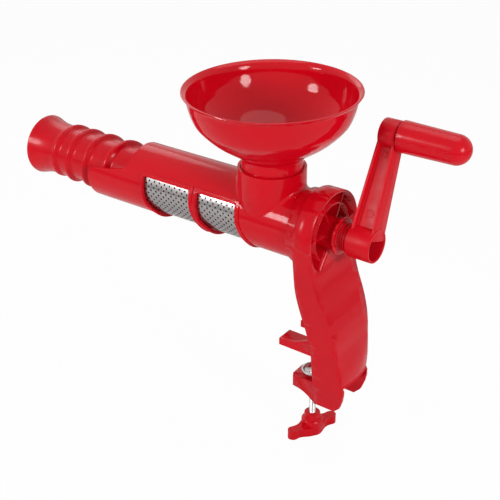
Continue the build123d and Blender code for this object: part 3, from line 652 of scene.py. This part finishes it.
# %% Pressed cup with its rolled rim
cup = turned("clamp_cup_pressed", [
    (2.75, cup_base), (6.0, cup_base), (6.8, cup_base + 0.12), (8.1, cup_base + 0.8),
    (8.8, cup_base + 1.7), (9.3, cup_base + 2.8), (9.55, CUP_RIM_Z - 1.35),
    (10.1, CUP_RIM_Z - 1.5), (10.5, CUP_RIM_Z - 1.3), (10.7, CUP_RIM_Z - 0.85),
    (10.62, CUP_RIM_Z - 0.35), (10.3, CUP_RIM_Z - 0.05), (9.85, CUP_RIM_Z),
    (9.3, CUP_RIM_Z - 0.12), (8.95, CUP_RIM_Z - 0.5), (8.75, CUP_RIM_Z - 1.2),
    (8.45, cup_base + 2.7), (7.8, cup_base + 1.8), (6.9, cup_base + 1.12),
    (6.0, cup_base + 0.92), (2.75, cup_base + 0.92), (2.75, cup_base)], 80)
cup.location.x = SCREW_X * MM
settle(cup, 30.0)
hand_over(cup, "clamp_cup", "cup")


# %% [markdown]
# ## Frames round the windows
# Each window of the barrel has a rounded, raised frame that catches the light. Its
# middle line runs along the upper edge on one side, down one end, under the barrel
# and up the other side, and back. The line is drawn as a chain of points, turned
# into a curve with a round section, and made a mesh again.

# %% Window frames
BARREL_R = 31.0
FRAME_R, FRAME_LIFT, FRAME_OUT = 1.25, 0.25, 0.9    # size of the bead and its offsets
FRAME_TOP = 90 + 28.3 + 1.6              # angle of the upper edge, from the bottom
FRAME_CORNER, FRAME_BEND = 6.0, 3.2      # the corner's size in degrees and in mm
SIDE_STEPS, TOP_STEPS = 40, 12
WINDOW_TOP = 14.7
LEFT_EDGE = ((WINDOW_TOP, 0.0), (0.0, 0.5), (-10.7, 1.8), (-16.5, 5.0), (-22.0, 10.0),
             (-36.0, 13.0))
RIGHT_EDGE = ((WINDOW_TOP, 0.0), (0.0, 2.0), (-12.0, 5.5), (-21.0, 9.0), (-36.0, 11.0))


def edge_x(edge, height):
    """How far a window's end has moved along X at a height over the crank axis."""
    for (z0, x0), (z1, x1) in zip(edge, edge[1:]):
        if z1 <= height <= z0:
            return x0 + (x1 - x0) * (z0 - height) / (z0 - z1)
    return edge[0][1]


def on_barrel(x, angle):
    """A point of the bead's middle line; the angle counts from the bottom, in degrees."""
    ring = BARREL_R + FRAME_LIFT
    return (x, ring * sin(radians(angle)), AXIS_Z - ring * cos(radians(angle)))


def frame_side(x, edge, way):
    """One end of the window, from one side of the barrel under it to the other."""
    reach = FRAME_TOP - FRAME_CORNER
    angles = [way * (-reach + 2 * reach * i / SIDE_STEPS) for i in range(SIDE_STEPS + 1)]
    return [on_barrel(x + edge_x(edge, -(BARREL_R + FRAME_LIFT) * cos(radians(angle))), angle)
            for angle in angles]


def frame_corner(x, inward, side, shares):
    """A rounded corner; inward is the way along X and side the side of the barrel."""
    return [on_barrel(x + inward * FRAME_BEND * t * t,
                      side * (FRAME_TOP - FRAME_CORNER * (1 - t) ** 2)) for t in shares]


def frame_top(start, end, side):
    """The straight upper edge on one side of the barrel."""
    return [on_barrel(start + (end - start) * i / TOP_STEPS, side * FRAME_TOP)
            for i in range(1, TOP_STEPS)]


def window_frame(name, x0, x1):
    """A closed round bead along the outline of one window."""
    into, out_of = (0.25, 0.6, 1.0), (1.0, 0.6, 0.25)
    left, right = x0 - FRAME_OUT, x1 + FRAME_OUT
    line = (frame_side(left, LEFT_EDGE, 1)
            + frame_corner(left, 1, 1, into)
            + frame_top(left + FRAME_BEND, right - FRAME_BEND, 1)
            + frame_corner(right, -1, 1, out_of)
            + frame_side(right, RIGHT_EDGE, -1)
            + frame_corner(right, -1, -1, into)
            + frame_top(right - FRAME_BEND, left + FRAME_BEND, -1)
            + frame_corner(left, 1, -1, out_of))
    piece = drawn_line(name, line + [line[0]])
    bpy.ops.mesh.select_all(action="SELECT")
    bpy.ops.mesh.remove_doubles(threshold=1e-6)
    bpy.ops.object.mode_set(mode="OBJECT")
    bpy.ops.object.convert(target="CURVE")
    piece.data.bevel_depth = FRAME_R * MM
    piece.data.bevel_resolution = 3
    bpy.ops.object.convert(target="MESH")
    outward(piece)
    settle(piece, 60.0)
    piece.data.materials.clear()
    piece.data.materials.append(finishes["barrel"])
    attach(piece, "frame")
    print(name, len(piece.data.polygons), "faces")


window_frame("window_frame_far", -179.5, -127.0)
window_frame("window_frame_near", -119.0, -76.8)

# %% [markdown]
# ## The auger
# The auger is a long tapered core with a left-handed thread whose turns crowd
# together towards the open end. The core is turned from its outline; then each
# point near the thread is lifted onto a soft, rounded rib. The rib follows the same
# rule for its pitch as the solid does, so the two lie on each other.

# %% Auger
CREST_R, RIB_HALF, RIB_FLAT, RUN_IN = 27.2, 5.6, 0.7, 0.42
THREAD_X0, THREAD_START, THREAD_TURNS = -302.5, 319.0, 9.375
FIRST_PITCH, PITCH_GROWTH = 14.1, 3.75   # mm, and mm more for every turn
EVEN_FROM, TURNS_THERE, EVEN_PITCH = -174.87, 5.307, 34.0
CORE = ((-329.4, 28.0), (-328.6, 28.8), (-326.4, 28.2), (-321.4, 26.7), (-314.4, 25.2),
        (-303.4, 24.3), (-230.0, 22.6), (-120.0, 18.5), (-60.0, 16.0), (-26.0, 16.0),
        (-22.0, 23.9), (-13.9, 23.9))


def core_radius(x):
    """Radius of the plain core at x."""
    for (x0, r0), (x1, r1) in zip(CORE, CORE[1:]):
        if x <= x1:
            return r0 + (r1 - r0) * (x - x0) / (x1 - x0)
    return CORE[-1][1]


def turns_at(x):
    """How many turns the thread has made at x, counted from the open end."""
    if x < EVEN_FROM:
        under = FIRST_PITCH ** 2 + 2 * PITCH_GROWTH * (x - THREAD_X0)
        return (sqrt(max(0.0, under)) - FIRST_PITCH) / PITCH_GROWTH
    return TURNS_THERE + (x - EVEN_FROM) / EVEN_PITCH


def soft_step(t):
    """Rises softly from 0 to 1 while t goes from 0 to 1."""
    t = max(0.0, min(1.0, t))
    return t * t * (3 - 2 * t)


def rib_lift(x, angle):
    """Share of the way from the core up to the crest, at one point of the auger."""
    turns = turns_at(x)
    pitch = min(EVEN_PITCH, FIRST_PITCH + PITCH_GROWTH * max(0.0, turns))
    away = (turns - (THREAD_START - angle) / 360.0 + 0.5) % 1.0 - 0.5
    along, at = abs(away * pitch), turns - away
    if along > RIB_HALF or not 0.0 < at < THREAD_TURNS:
        return 0.0
    fade = soft_step(at / RUN_IN) * soft_step((THREAD_TURNS - at) / RUN_IN)
    slope = max(0.0, along - RIB_FLAT) / (RIB_HALF - RIB_FLAT)
    return fade * 0.5 * (1 + cos(pi * slope))


mouth = [(28.0, -329.4), (28.55, -329.25), (28.8, -328.8), (28.72, -328.2),
         (28.2, -326.4), (27.4, -323.9), (26.7, -321.4), (25.8, -317.6), (25.2, -314.4),
         (24.7, -309.5)]
ribbed = [(core_radius(x), x) for x in (-304.0 + 1.0 * i for i in range(116))]
hidden = [(core_radius(x), x) for x in (-186.0 + 2.4 * i for i in range(66))]
shaft = [(16.0, -26.0), (23.9, -22.0), (23.9, -13.9), (9.0, -13.9), (9.0, 14.0),
         (7.0, 14.0), (7.0, -25.0), (13.0, -30.0), (13.0, -60.0), (15.5, -120.0),
         (19.6, -230.0), (21.3, -303.4), (22.2, -314.4), (23.7, -321.4), (25.6, -328.6),
         (25.8, -329.2), (28.0, -329.4)]
auger = turned("threaded_auger", mouth + ribbed + hidden + shaft, 96)
auger.rotation_euler = (0, pi / 2, 0)
auger.location = (0, 0, AXIS_Z * MM)
settle(auger, 50.0)
for point in auger.data.vertices:
    x, y, z = (c / MM for c in point.co)
    radius = hypot(y, z - AXIS_Z)
    if -308.0 < x < -28.0 and radius > core_radius(x) - 0.5:
        lift = rib_lift(x, atan2(z - AXIS_Z, y) * 180 / pi)
        grown = 1 + (CREST_R - radius) * lift / radius
        point.co = (x * MM, y * grown * MM, (AXIS_Z + (z - AXIS_Z) * grown) * MM)
hand_over(auger, "auger", "crank")

# %% [markdown]
# ## The crank
# The crank is one moulding: a grooved neck and an open hub at the bottom, a boss for
# the grip's pin at the top, and between them an arm that gets narrower upwards and
# is hollowed from both sides to a web. The arm starts as a box whose top is drawn
# in; its two side faces are inset and pushed in.

# %% Arm of the crank
ARM_LEAN, ARM_LENGTH = 22.0, 91.6
ARM_FOOT = (23.7, 45.5, 10.6)            # inner side, outer side, half width
ARM_HEAD = (28.4, 43.4, 8.4)
ARM_START = 4.0                          # height at which the bar begins
FLANGE, RECESS = 2.3, 4.6
WEB_MIDDLE_X = 36.0


def arm_bar():
    """The tapered arm, upright over the crank axis at z = 0."""
    start_clean()
    bpy.ops.mesh.primitive_cube_add(size=1.0)
    bar = bpy.context.object
    bar.name = "crank_arm_moulded"
    bpy.ops.object.mode_set(mode="EDIT")
    bpy.ops.mesh.select_all(action="SELECT")
    bpy.ops.transform.resize(value=((ARM_FOOT[1] - ARM_FOOT[0]) * MM, 2 * ARM_FOOT[2] * MM,
                                    (ARM_LENGTH - ARM_START) * MM), center_override=(0, 0, 0))
    middle = (ARM_FOOT[0] + ARM_FOOT[1]) / 2
    bpy.ops.transform.translate(value=(middle * MM, 0, (ARM_LENGTH + ARM_START) / 2 * MM))
    choose(bar, lambda co: co.z > ARM_LENGTH * 0.6 * MM)
    head = (ARM_HEAD[0] + ARM_HEAD[1]) / 2
    bpy.ops.transform.translate(value=((head - middle) * MM, 0, 0))
    narrow = (ARM_HEAD[1] - ARM_HEAD[0]) / (ARM_FOOT[1] - ARM_FOOT[0])
    bpy.ops.transform.resize(value=(narrow, ARM_HEAD[2] / ARM_FOOT[2], 1),
                             center_override=(head * MM, 0, 0))
    return bar


def choose_faces(piece, test):
    """In edit mode, select only the faces whose normal and middle pass the test."""
    pick(piece)
    bpy.ops.object.mode_set(mode="EDIT")
    bpy.ops.mesh.select_mode(type="FACE")
    bpy.ops.mesh.select_all(action="DESELECT")
    bpy.ops.object.mode_set(mode="OBJECT")
    for face in piece.data.polygons:
        face.select = test(face.normal, face.center)
    bpy.ops.object.mode_set(mode="EDIT")


arm = arm_bar()
for way in (-1, 1):
    choose_faces(arm, lambda n, c, way=way: n.y * way > 0.9)
    bpy.ops.mesh.inset(thickness=FLANGE * MM)
    bpy.ops.mesh.extrude_region_move(
        TRANSFORM_OT_translate={"value": (0, -way * RECESS * MM, 0)})
    bpy.ops.transform.resize(value=(0.93, 1, 0.985),
                             center_override=(WEB_MIDDLE_X * MM, 0, ARM_LENGTH / 2 * MM))
bpy.ops.mesh.select_all(action="SELECT")
bpy.ops.mesh.bevel(offset=0.5 * MM, segments=3, affect="EDGES")
bpy.ops.object.mode_set(mode="OBJECT")
print("arm of the crank:", len(arm.data.polygons), "faces")

# %% [markdown]
# The hub and the boss are turned and laid along X. Round marks of the mould's
# ejector pins lie on the web, and a fine parting line runs down the outer face. All
# of it is joined with the arm, which then leans over and moves up to the crank axis.

# %% Hub, boss, ejector marks and parting line
hub_outline = [(6.9, 14.2), (11.9, 14.2), (12.4, 14.7), (12.4, 16.6), (11.5, 17.0),
               (11.5, 17.6), (12.4, 18.0), (12.4, 18.8), (11.5, 19.2), (11.5, 19.8),
               (12.4, 20.2), (12.4, 21.0), (11.5, 21.4), (11.5, 22.0), (12.4, 22.4),
               (12.6, 23.4), (14.2, 23.4), (14.6, 23.6), (14.7, 24.0), (14.7, 44.9),
               (14.6, 45.4), (14.2, 45.8), (13.2, 45.8), (12.9, 45.6), (12.7, 45.1),
               (12.7, 28.6), (12.1, 28.0), (6.9, 28.0), (6.9, 14.2)]
boss_outline = [(0, 28.3), (11.2, 28.3), (11.8, 28.5), (12.1, 29.0), (12.1, 42.9),
                (11.9, 43.4), (11.4, 43.7), (0, 43.7)]
hub = turned("hub", hub_outline, 96)
boss = turned("boss", boss_outline, 72)
hub.rotation_euler = boss.rotation_euler = (0, pi / 2, 0)
boss.location.z = ARM_LENGTH * MM
settle(hub, 40.0)
settle(boss, 40.0)
marks = []
for height, size in ((25.0, 3.4), (74.0, 2.6)):
    web = ARM_FOOT[2] + (ARM_HEAD[2] - ARM_FOOT[2]) * height / ARM_LENGTH - RECESS
    for way in (-1, 1):
        mark = turned("ejector_mark", [(size - 0.5, -0.3), (size - 0.5, 0.14),
                                       (size - 0.35, 0.22), (size - 0.1, 0.22),
                                       (size, 0.12), (size, -0.3), (size - 0.5, -0.3)], 40)
        mark.rotation_euler = (-way * pi / 2, 0, 0)
        mark.location = (35.6 * MM, way * web * MM, height * MM)
        marks.append(settle(mark, 40.0))
start_clean()
bpy.ops.mesh.primitive_cube_add(size=1.0)
seam = bpy.context.object
bpy.ops.object.mode_set(mode="EDIT")
bpy.ops.mesh.select_all(action="SELECT")
bpy.ops.transform.resize(value=(0.5 * MM, 0.42 * MM, 62 * MM), center_override=(0, 0, 0))
bpy.ops.transform.translate(value=(45.42 * MM, 0, 46 * MM))
choose(seam, lambda co: co.z > 50 * MM)
bpy.ops.transform.translate(value=(-1.42 * MM, 0, 0))
bpy.ops.mesh.select_all(action="SELECT")
bpy.ops.transform.translate(value=(-0.30 * MM, 0, 0))
bpy.ops.mesh.bevel(offset=0.12 * MM, segments=2, affect="EDGES")
start_clean()
for part in [arm, hub, boss, seam] + marks:
    part.select_set(True)
bpy.context.view_layer.objects.active = arm
bpy.ops.object.join()
arm.rotation_euler = (-radians(ARM_LEAN), 0, 0)
arm.location = (0, 0, AXIS_Z * MM)
settle(arm, 40.0)
outward(arm)
settle(arm, 40.0)
hand_over(arm, "crank_arm", "crank")

# %% [markdown]
# ## The stand's leg
# The stand keeps the measured solid's mesh: drum, ribs, jaws and bracket are right
# as they are. Only the outer face of the leg is drawn again, as one even swell from
# the drum down to the foot. The copy of the mesh is merged first and cut at many
# heights, so that it can bend, and then the points beyond the drum's face slide
# along X until the front follows the new outline.

# %% Stand with the even swell of its leg
DRUM_FACE_X = 5.0
LEG_TOP, LEVEL_STEP, LEVELS = 84.0, 3.0, 40
FOOT_FROM, FADE_FROM, FADE_HEIGHT = -20.0, -40.0, 14.0
LEG_FRONT = ((88.0, 5.4), (74.0, 7.6), (62.0, 12.0), (50.0, 17.6), (40.0, 21.5),
             (30.0, 24.6), (20.0, 26.7), (10.0, 27.9), (0.0, 30.3), (-10.0, 32.3),
             (-20.0, 32.6), (-27.0, 31.8), (-34.0, 31.4))


def on_line(line, z):
    """The value of a falling table of (z, value) at z."""
    for (z0, v0), (z1, v1) in zip(line, line[1:]):
        if z >= z1:
            return v0 + (v1 - v0) * (z0 - z) / (z0 - z1)
    return line[-1][1]


stand = bpy.data.objects.new("stand_moulded", nodes["stand"].data.copy())
bpy.context.scene.collection.objects.link(stand)
outward(stand, 1e-6)
bpy.ops.object.mode_set(mode="EDIT")
levels = [LEG_TOP - LEVEL_STEP * i for i in range(LEVELS)]
for level in levels:
    bpy.ops.mesh.select_all(action="SELECT")
    bpy.ops.mesh.bisect(plane_co=(0, 0, level * MM), plane_no=(0, 0, 1))
bpy.ops.object.mode_set(mode="OBJECT")
fronts = []
for level in levels:
    ring = [p.co.x / MM for p in stand.data.vertices if abs(p.co.z / MM - level) < 0.01]
    fronts.append((level, max(ring)))
wanted = smooth_through(LEG_FRONT, 4)
for point in stand.data.vertices:
    x, z = point.co.x / MM, point.co.z / MM
    if x > DRUM_FACE_X + 0.05 and levels[-1] < z < LEG_TOP:
        solid_depth = max(on_line(fronts, z) - DRUM_FACE_X, 0.4)
        share = (on_line(wanted, z) - DRUM_FACE_X) / solid_depth
        if z < FOOT_FROM:
            share = min(share, 1.0)
        fade = soft_step((z - FADE_FROM) / FADE_HEIGHT)
        point.co.x = (DRUM_FACE_X + (x - DRUM_FACE_X) * (1 + (share - 1) * fade)) * MM
settle(stand, 32.0)
hand_over(stand, "stand", "frame")

# %% [markdown]
# ## Camera
# The photograph was taken from above the crank side. The camera's direction,
# distance and lens were worked out from the object's own circles and axes, and
# its small roll levels the crank axis as the picture shows it.

# %% Camera at the photograph's angle
TARGET = Vector((-82.23, 0.0, 68.71)) * MM
AZIMUTH, ELEVATION, ROLL = radians(36.15), radians(28.85), radians(-0.65)
DISTANCE = 0.9606

back = Vector((sin(AZIMUTH) * cos(ELEVATION), -cos(AZIMUTH) * cos(ELEVATION),
               sin(ELEVATION)))
side = Vector((cos(AZIMUTH), sin(AZIMUTH), 0.0))
above = back.cross(side)
right = side * cos(ROLL) + above * sin(ROLL)
up = above * cos(ROLL) - side * sin(ROLL)

lens = bpy.data.cameras.new("camera")
lens.lens = 77.26
lens.sensor_width = 36.0
lens.clip_start = 0.01
camera = bpy.data.objects.new("camera", lens)
bpy.context.scene.collection.objects.link(camera)
place = Matrix((right, up, back)).transposed().to_4x4()
place.translation = TARGET + back * DISTANCE
camera.matrix_world = place
bpy.context.scene.camera = camera

# %% [markdown]
# ## Light and floor
# A white studio with four round lamps. The one beside the crank and the one in front
# show as the two spots inside the bowl. A large one overhead lights the bowl's
# floor, and a weak one behind draws the edge of the barrel. The camera and the
# reflections see a white world, while the light that falls from it is weaker, so
# that the red stays as it is painted.


# %% Lamps, world and floor
def soft_lamp(name, where, size, power):
    """A round area lamp that looks at the middle of the object."""
    start_clean()
    bpy.ops.object.light_add(type="AREA", location=where)
    lamp = bpy.context.object
    lamp.name = name
    lamp.data.shape = "DISK"
    lamp.data.size = size
    lamp.data.energy = power
    aim = TARGET - Vector(where)
    lamp.rotation_euler = aim.to_track_quat("-Z", "Y").to_euler()
    return lamp


soft_lamp("window side lamp", (0.82, -0.24, 0.42), 0.26, 4.0)
soft_lamp("front lamp", (-0.62, -1.00, 0.58), 0.34, 6.6)
soft_lamp("overhead lamp", (-0.10, 0.25, 1.10), 0.75, 3.0)
soft_lamp("back edge lamp", (-0.95, 0.55, 0.75), 0.50, 1.2)


def shown_white(tree, dim):
    """Strength that is full for camera, mirror and glass rays and dim for the rest."""
    path = tree.nodes.new("ShaderNodeLightPath")
    seen = maths(tree, "MAXIMUM", path.outputs["Is Camera Ray"],
                 maths(tree, "MAXIMUM", path.outputs["Is Glossy Ray"],
                       path.outputs["Is Transmission Ray"]))
    weight = maths(tree, "MULTIPLY", seen, 1.0 - dim)
    return maths(tree, "ADD", weight, dim)


WORLD_LIGHT = 0.27
world = bpy.data.worlds.new("studio")
bpy.context.scene.world = world
world.use_nodes = True
sky = world.node_tree.nodes["Background"]
sky.inputs["Color"].default_value = (1, 1, 1, 1)
world.node_tree.links.new(shown_white(world.node_tree, WORLD_LIGHT), sky.inputs["Strength"])

FLOOR_GAP, FLOOR_GLOW = 0.0005, 0.96
FLOOR_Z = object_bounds()[0][2] - FLOOR_GAP
start_clean()
bpy.ops.mesh.primitive_plane_add(size=8.0, location=(0, 0, FLOOR_Z))
floor = bpy.context.object
floor.name = "floor"
paper = bpy.data.materials.new("floor paper")
paper.use_nodes = True
paper_tree = paper.node_tree
paper_shader = paper_tree.nodes["Principled BSDF"]
paper_shader.inputs["Base Color"].default_value = (0.92, 0.92, 0.92, 1)
paper_shader.inputs["Roughness"].default_value = 0.9
glow = add(paper_tree, "ShaderNodeEmission")
glow.inputs["Color"].default_value = (1, 1, 1, 1)
blend = paper_tree.nodes.new("ShaderNodeMixShader")
share = maths(paper_tree, "MULTIPLY",
              paper_tree.nodes.new("ShaderNodeLightPath").outputs["Is Camera Ray"],
              FLOOR_GLOW)
paper_tree.links.new(share, blend.inputs[0])
paper_tree.links.new(paper_shader.outputs[0], blend.inputs[1])
paper_tree.links.new(glow.outputs[0], blend.inputs[2])
paper_tree.links.new(blend.outputs[0],
                     paper_tree.nodes["Material Output"].inputs["Surface"])
floor.data.materials.append(paper)

bpy.context.scene.view_settings.view_transform = "Standard"
